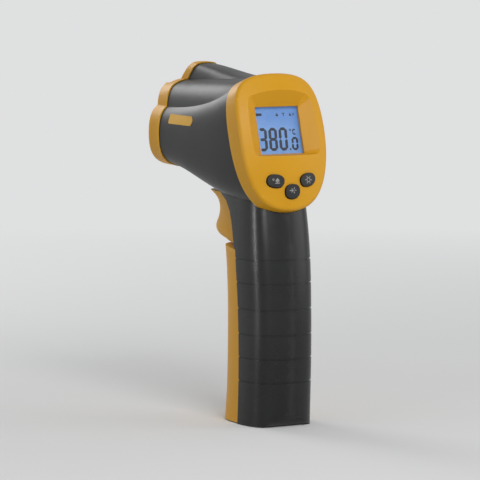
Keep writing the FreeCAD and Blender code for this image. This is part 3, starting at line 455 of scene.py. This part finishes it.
def thin_plates(outlines, place):
    """Closed thin plates. place(u, v) gives a point's upper and lower place.

    Outlines that share an edge become one plate with no wall inside.
    """
    shared = shared_edges(outlines)
    vertices, faces, known = [], [], {}
    plate = 0
    for outline in outlines:
        edges = edges_of(outline)
        if shared.isdisjoint(edges):
            plate += 1
        corners = []
        for (u, v), (start, end) in zip(outline, edges):
            if (plate, start) not in known:
                known[plate, start] = len(vertices)
                vertices.extend(place(u, v))
            corners.append(known[plate, start])
        faces.append(tuple(corners))
        faces.append(tuple(index + 1 for index in reversed(corners)))
        for edge, first, second in zip(edges, corners, corners[1:] + corners[:1]):
            if edge not in shared:
                faces.append((first, first + 1, second + 1, second))
    return vertices, faces


def surface_of(name):
    """A ray test over a CAD node, whose object sits at the origin."""
    mesh = nodes[name].data
    vertices = [vertex.co for vertex in mesh.vertices]
    return BVHTree.FromPolygons(vertices, [tuple(face.vertices) for face in mesh.polygons])


def laid_on(name, outlines, origin, across, up, proud, sunk):
    """Closed thin plates on a CAD node's surface.

    Seen from outside, across points to the right and up points up. The plates stand proud of
    the surface by one length and reach into it by the other.
    """
    surface = surface_of(name)
    inward = up.cross(across)

    def place(u, v):
        begin = origin + across * u + up * v - inward * PROBE
        hit = surface.ray_cast(begin, inward)[0]
        return hit - inward * proud, hit + inward * sunk

    return thin_plates(outlines, place)


def new_piece(name, shape, material, body):
    vertices, faces = shape
    mesh = bpy.data.meshes.new(name)
    mesh.from_pydata([tuple(vertex) for vertex in vertices], [], faces)
    mesh.update()
    piece = bpy.data.objects.new(name, mesh)
    bpy.context.scene.collection.objects.link(piece)
    mesh.materials.append(MATERIALS[material])
    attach(piece, body)


# ---------------------------------------------------------------- the display face's own directions
KEY_PRESS = next(entry for entry in frame["joints"] if entry["name"] == "key_middle_press")
OUTWARD = -Vector(KEY_PRESS["axis"]).normalized()
ACROSS = Vector((1.0, 0.0, 0.0))
UP_FACE = OUTWARD.cross(ACROSS).normalized()


def box_centre(node):
    low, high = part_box(node)
    return (low + high) / 2.0


# ---------------------------------------------------------------- display reading
GLASS_WIDTH = 21.0 * MM         # the stretch of the display that the reading is laid out on
GLASS_HEIGHT = 20.4 * MM
LCD_THICKNESS = 1.8 * MM
INK_LIFT = 0.01 * MM            # gap between the display's surface and the reading
INK_HEIGHT = 0.03 * MM
SEGMENT_GAP = 0.02              # share of a segment's width left free at each of its ends
SEGMENT_WIDTH = 0.31            # share of a figure's width
SLANT = 0.06                    # sideways lean for each unit of height
SEGMENTS = {"0": "abcdef", "3": "abgcd", "8": "abcdefg", "C": "afed"}
FIGURES = (                     # symbol, then left, bottom, width and height as shares of the glass
    ("3", 0.035, 0.085, 0.195, 0.49),
    ("8", 0.27, 0.085, 0.195, 0.49),
    ("0", 0.505, 0.085, 0.195, 0.49),
)
SMALL_FIGURE = ("0", 0.79, 0.085, 0.15, 0.28)
UNIT_FIGURE = ("C", 0.845, 0.41, 0.09, 0.125)


def on_glass(u, v):
    """Two lengths, across and up, from their shares of the glass's width and height."""
    return u * GLASS_WIDTH, v * GLASS_HEIGHT


def glass_bar(left, low, right, high):
    """A rectangle whose sides are given as shares of the glass."""
    return rectangle(*on_glass(left, low), *on_glass(right, high))


def segment(x0, y0, x1, y1, width):
    """A straight segment with pointed ends."""
    along = Vector((x1 - x0, y1 - y0)).normalized()
    side = Vector((-along.y, along.x)) * width / 2.0
    tip = along * width / 2.0
    first = Vector((x0, y0)) + along * width * SEGMENT_GAP
    last = Vector((x1, y1)) - along * width * SEGMENT_GAP
    points = (first, first + tip - side, last - tip - side, last, last - tip + side, first + tip + side)
    return [tuple(point) for point in points]


def figure(symbol, left, bottom, width, height, slant=SLANT):
    """A seven-segment figure whose place and size are shares of the glass."""
    left, bottom = on_glass(left, bottom)
    width, height = on_glass(width, height)
    thick = SEGMENT_WIDTH * width
    x0, x1 = thick / 2, width - thick / 2
    y0, y1, y2 = thick / 2, height / 2, height - thick / 2
    ends = {"a": (x0, y2, x1, y2), "b": (x1, y1, x1, y2), "c": (x1, y0, x1, y1), "d": (x0, y0, x1, y0),
            "e": (x0, y0, x0, y1), "f": (x0, y1, x0, y2), "g": (x0, y1, x1, y1)}
    return [[(left + x + slant * y, bottom + y) for x, y in segment(*ends[letter], thick)]
            for letter in SEGMENTS[symbol]]


def display_signs():
    """Small generic signs along the display's top: a lock, a lamp and a beam."""
    low = 0.815
    return [
        glass_bar(0.52, low, 0.57, low + 0.035),
        *ring(*on_glass(0.545, low + 0.045), 0.019 * GLASS_WIDTH, 0.008 * GLASS_WIDTH),
        glass_bar(0.665, low + 0.05, 0.725, low + 0.065),
        glass_bar(0.687, low, 0.703, low + 0.05),
        [on_glass(0.82, low), on_glass(0.88, low), on_glass(0.85, low + 0.065)],
        glass_bar(0.90, low + 0.012, 0.945, low + 0.024),
        glass_bar(0.90, low + 0.04, 0.945, low + 0.052),
    ]


def display_reading():
    """A plain temperature reading in seven-segment figures, with a degree mark and a battery sign."""
    centre = box_centre("lcd_glass") + OUTWARD * (LCD_THICKNESS / 2 + INK_LIFT)

    def place(u, v):
        low = centre + ACROSS * (u - GLASS_WIDTH / 2) + UP_FACE * (v - GLASS_HEIGHT / 2)
        return low + OUTWARD * INK_HEIGHT, low

    outlines = [outline for entry in FIGURES for outline in figure(*entry)]
    outlines.append(disc(*on_glass(0.752, 0.11), 0.02 * GLASS_WIDTH))
    outlines += figure(*SMALL_FIGURE)
    outlines += ring(*on_glass(0.80, 0.515), 0.026 * GLASS_WIDTH, 0.013 * GLASS_WIDTH)
    outlines += figure(*UNIT_FIGURE, slant=0.0)
    outlines.append(glass_bar(0.05, 0.83, 0.185, 0.885))
    outlines.append(glass_bar(0.19, 0.845, 0.202, 0.87))
    outlines += display_signs()
    new_piece("display_digits", thin_plates(outlines, place), "digit_ink", "body")


# ---------------------------------------------------------------- key signs
SIGN_PROUD = 0.03 * MM
SIGN_SUNK = 0.03 * MM


def degree_sign():
    """A degree mark beside two arrows over a bar, in millimetres."""
    up_arrow = [(-0.5, 0.1), (1.5, 0.1), (0.5, 1.2)]
    down_arrow = [(-0.5, -0.1), (0.5, -0.6), (1.5, -0.1)]
    return ring(-1.3, 0.7, 0.42, 0.2, 12) + [rectangle(-0.5, -1.0, 1.5, -0.72), up_arrow, down_arrow]


def beam_sign():
    """A beam that ends in a burst of five rays, in millimetres."""
    ray = rectangle(0.5, -0.14, 1.3, 0.14)
    return [rectangle(-1.7, -0.16, 0.2, 0.16)] + [turned(ray, 72 * step, 0.2) for step in range(5)]


def lamp_sign():
    """A ring with six rays round it, in millimetres."""
    ray = rectangle(1.25, -0.15, 1.75, 0.15)
    return ring(0.0, 0.0, 1.0, 0.3, 14) + [turned(ray, 60 * step) for step in range(6)]


def key_signs():
    """Small pale signs printed on the keys; each rides its own key's body."""
    for side, sign in (("left", degree_sign()), ("middle", beam_sign()), ("right", lamp_sign())):
        key = "key_" + side
        outlines = [scaled(outline, MM) for outline in sign]
        shape = laid_on(key, outlines, box_centre(key), ACROSS, UP_FACE, SIGN_PROUD, SIGN_SUNK)
        new_piece("sign_" + side, shape, "sign_ink", key)


# ---------------------------------------------------------------- side tag
TAG_REAR = 30.5 * MM            # y of the tag's end nearer the display
TAG_FRONT = 52.4 * MM
TAG_LOW = 124.8 * MM
TAG_HIGH = 128.9 * MM
TAG_CORNER = 0.9 * MM
TAG_TIP = 1.5 * MM              # both corners of the rear end are cut off by this much
TAG_TIP_CORNER = 0.4 * MM
TAG_PROUD = 0.18 * MM
TAG_SUNK = 0.05 * MM
TAG_STRIPS = 12


def side_tag():
    """The plain raised plate on the left side of the head, left bare."""
    corners = [(-TAG_FRONT, TAG_LOW), (-TAG_REAR - TAG_TIP, TAG_LOW), (-TAG_REAR, TAG_LOW + TAG_TIP),
               (-TAG_REAR, TAG_HIGH - TAG_TIP), (-TAG_REAR - TAG_TIP, TAG_HIGH), (-TAG_FRONT, TAG_HIGH)]
    strips = sliced(softened(corners, [TAG_CORNER, *[TAG_TIP_CORNER] * 4, TAG_CORNER]), TAG_STRIPS)
    origin = Vector((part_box("housing_left")[0].x, 0.0, 0.0))
    across, up = Vector((0, -1, 0)), Vector((0, 0, 1))
    shape = laid_on("housing_left", strips, origin, across, up, TAG_PROUD, TAG_SUNK)
    new_piece("side_tag", shape, "trim_yellow", "body")


# ---------------------------------------------------------------- painted shade in the screw recesses
SCREWS = (                      # y and z in millimetres, turn of the cross in degrees
    (-9.5, 20.0, 12.0),
    (-9.5, 64.0, 40.0),
    (14.0, 102.0, 75.0),
    (42.0, 104.4, 28.0),
    (32.0, 139.5, 58.0),
)
CROSS_ARM = 1.3
CROSS_HALF_WIDTH = 0.32
SHADE_CROSS_PROUD = 0.02 * MM
SHADE_CROSS_SUNK = 0.02 * MM


def cross():
    """A plain cross, in millimetres."""
    arm, wide = CROSS_ARM, CROSS_HALF_WIDTH
    quarter = [(arm, -wide), (arm, wide), (wide, wide)]
    return [point for step in range(4) for point in turned(quarter, 90 * step)]


def painted_screw_cross_shade():
    """Dark crosses on the housing screws' heads, which face the right-hand side: painted shade that stands in for
    the shade inside their cross recesses.
    """
    outlines = [scaled(turned(cross(), turn, y, z), MM) for y, z, turn in SCREWS]
    origin = Vector((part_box("housing_screws")[1].x, 0.0, 0.0))
    across, up = Vector((0, 1, 0)), Vector((0, 0, 1))
    shape = laid_on("housing_screws", outlines, origin, across, up, SHADE_CROSS_PROUD, SHADE_CROSS_SUNK)
    # a thin near-black plate of painted shade, laid on each screw head where its cross recess would be shaded
    new_piece("painted_screw_cross_shade", shape, "painted_recess_shade", "body")


# ---------------------------------------------------------------- stage
def seen_directly(tree):
    """1 for what the camera, a mirror or a window sees, and 0 for light that falls on the object."""
    path = add(tree, "ShaderNodeLightPath")
    first = maths(tree, "MAXIMUM", path.outputs["Is Camera Ray"], path.outputs["Is Glossy Ray"])
    return maths(tree, "MAXIMUM", first, path.outputs["Is Transmission Ray"])


def stage_floor():
    """A pale floor whose far part turns into the backdrop's own colour."""
    corners = [(u, v, 0.0) for u, v in rectangle(-FLOOR_HALF, -FLOOR_HALF, FLOOR_HALF, FLOOR_HALF)]
    mesh = bpy.data.meshes.new("floor")
    mesh.from_pydata(corners, [], [(0, 1, 2, 3)])
    floor = bpy.data.objects.new("floor", mesh)
    bpy.context.scene.collection.objects.link(floor)
    material, tree, shader = new_material("floor")
    vector = object_coordinates(tree)
    clouds = vary(tree, noise(tree, vector, FLOOR_CLOUDS), 0.0, 1.0)
    paler = tuple(part * 1.02 for part in FLOOR_COLOUR)
    tree.links.new(mix_colour(tree, clouds, FLOOR_COLOUR, paler), shader.inputs["Base Color"])
    shader.inputs["Roughness"].default_value = 0.9
    shader.inputs["Specular IOR Level"].default_value = 0.1
    reach = add(tree, "ShaderNodeVectorMath", operation="LENGTH")
    tree.links.new(vector, reach.inputs[0])
    fade = spread(tree, reach.outputs["Value"], FADE_START, FADE_END, 0.0, 1.0)
    glow = add(tree, "ShaderNodeEmission")
    glow.inputs["Color"].default_value = (*BACKDROP, 1.0)
    blend = add(tree, "ShaderNodeMixShader")
    tree.links.new(maths(tree, "MULTIPLY", fade, seen_directly(tree)), blend.inputs["Fac"])
    tree.links.new(shader.outputs["BSDF"], blend.inputs[1])
    tree.links.new(glow.outputs["Emission"], blend.inputs[2])
    tree.links.new(blend.outputs["Shader"], tree.nodes["Material Output"].inputs["Surface"])
    mesh.materials.append(material)


def stage_world():
    """Even skylight on the object, and the backdrop's colour wherever the world itself is seen."""
    world = bpy.data.worlds.new("studio")
    world.use_nodes = True
    tree = world.node_tree
    skylight = tree.nodes["Background"]
    skylight.inputs["Color"].default_value = (*SKYLIGHT, 1.0)
    skylight.inputs["Strength"].default_value = SKYLIGHT_STRENGTH
    backdrop = add(tree, "ShaderNodeBackground")
    backdrop.inputs["Color"].default_value = (*BACKDROP, 1.0)
    blend = add(tree, "ShaderNodeMixShader")
    tree.links.new(seen_directly(tree), blend.inputs["Fac"])
    tree.links.new(skylight.outputs["Background"], blend.inputs[1])
    tree.links.new(backdrop.outputs["Background"], blend.inputs[2])
    tree.links.new(blend.outputs["Shader"], tree.nodes["World Output"].inputs["Surface"])
    bpy.context.scene.world = world


def aimed(name, data, location, target):
    """A new object for a lamp or a camera that looks at the target."""
    thing = bpy.data.objects.new(name, data)
    thing.location = location
    thing.rotation_euler = (target - location).to_track_quat("-Z", "Y").to_euler()
    bpy.context.scene.collection.objects.link(thing)
    return thing


def stage_lights(target):
    for name, place, watts, width, height, gloss_only in LAMPS:
        data = bpy.data.lights.new(name, "AREA")
        data.shape = "RECTANGLE"
        data.energy = watts
        data.size = width
        data.size_y = height
        lamp = aimed(name, data, Vector(place), target)
        lamp.visible_diffuse = not gloss_only


def stage_camera():
    """The camera, aimed at the middle of the whole, which is given back."""
    low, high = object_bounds()
    middle = (Vector(low) + Vector(high)) / 2.0
    azimuth, elevation = math.radians(CAMERA_AZIMUTH), math.radians(CAMERA_ELEVATION)
    direction = Vector((math.sin(azimuth) * math.cos(elevation), -math.cos(azimuth) * math.cos(elevation),
                        math.sin(elevation)))
    data = bpy.data.cameras.new("camera")
    data.lens = CAMERA_LENS
    data.clip_start = 0.01
    bpy.context.scene.camera = aimed("camera", data, middle + direction * CAMERA_DISTANCE, middle)
    return middle


dress_cad_nodes()
display_reading()
key_signs()
side_tag()
painted_screw_cross_shade()
middle = stage_camera()
stage_floor()
stage_world()
stage_lights(middle)
bpy.context.scene.view_settings.view_transform = "Standard"
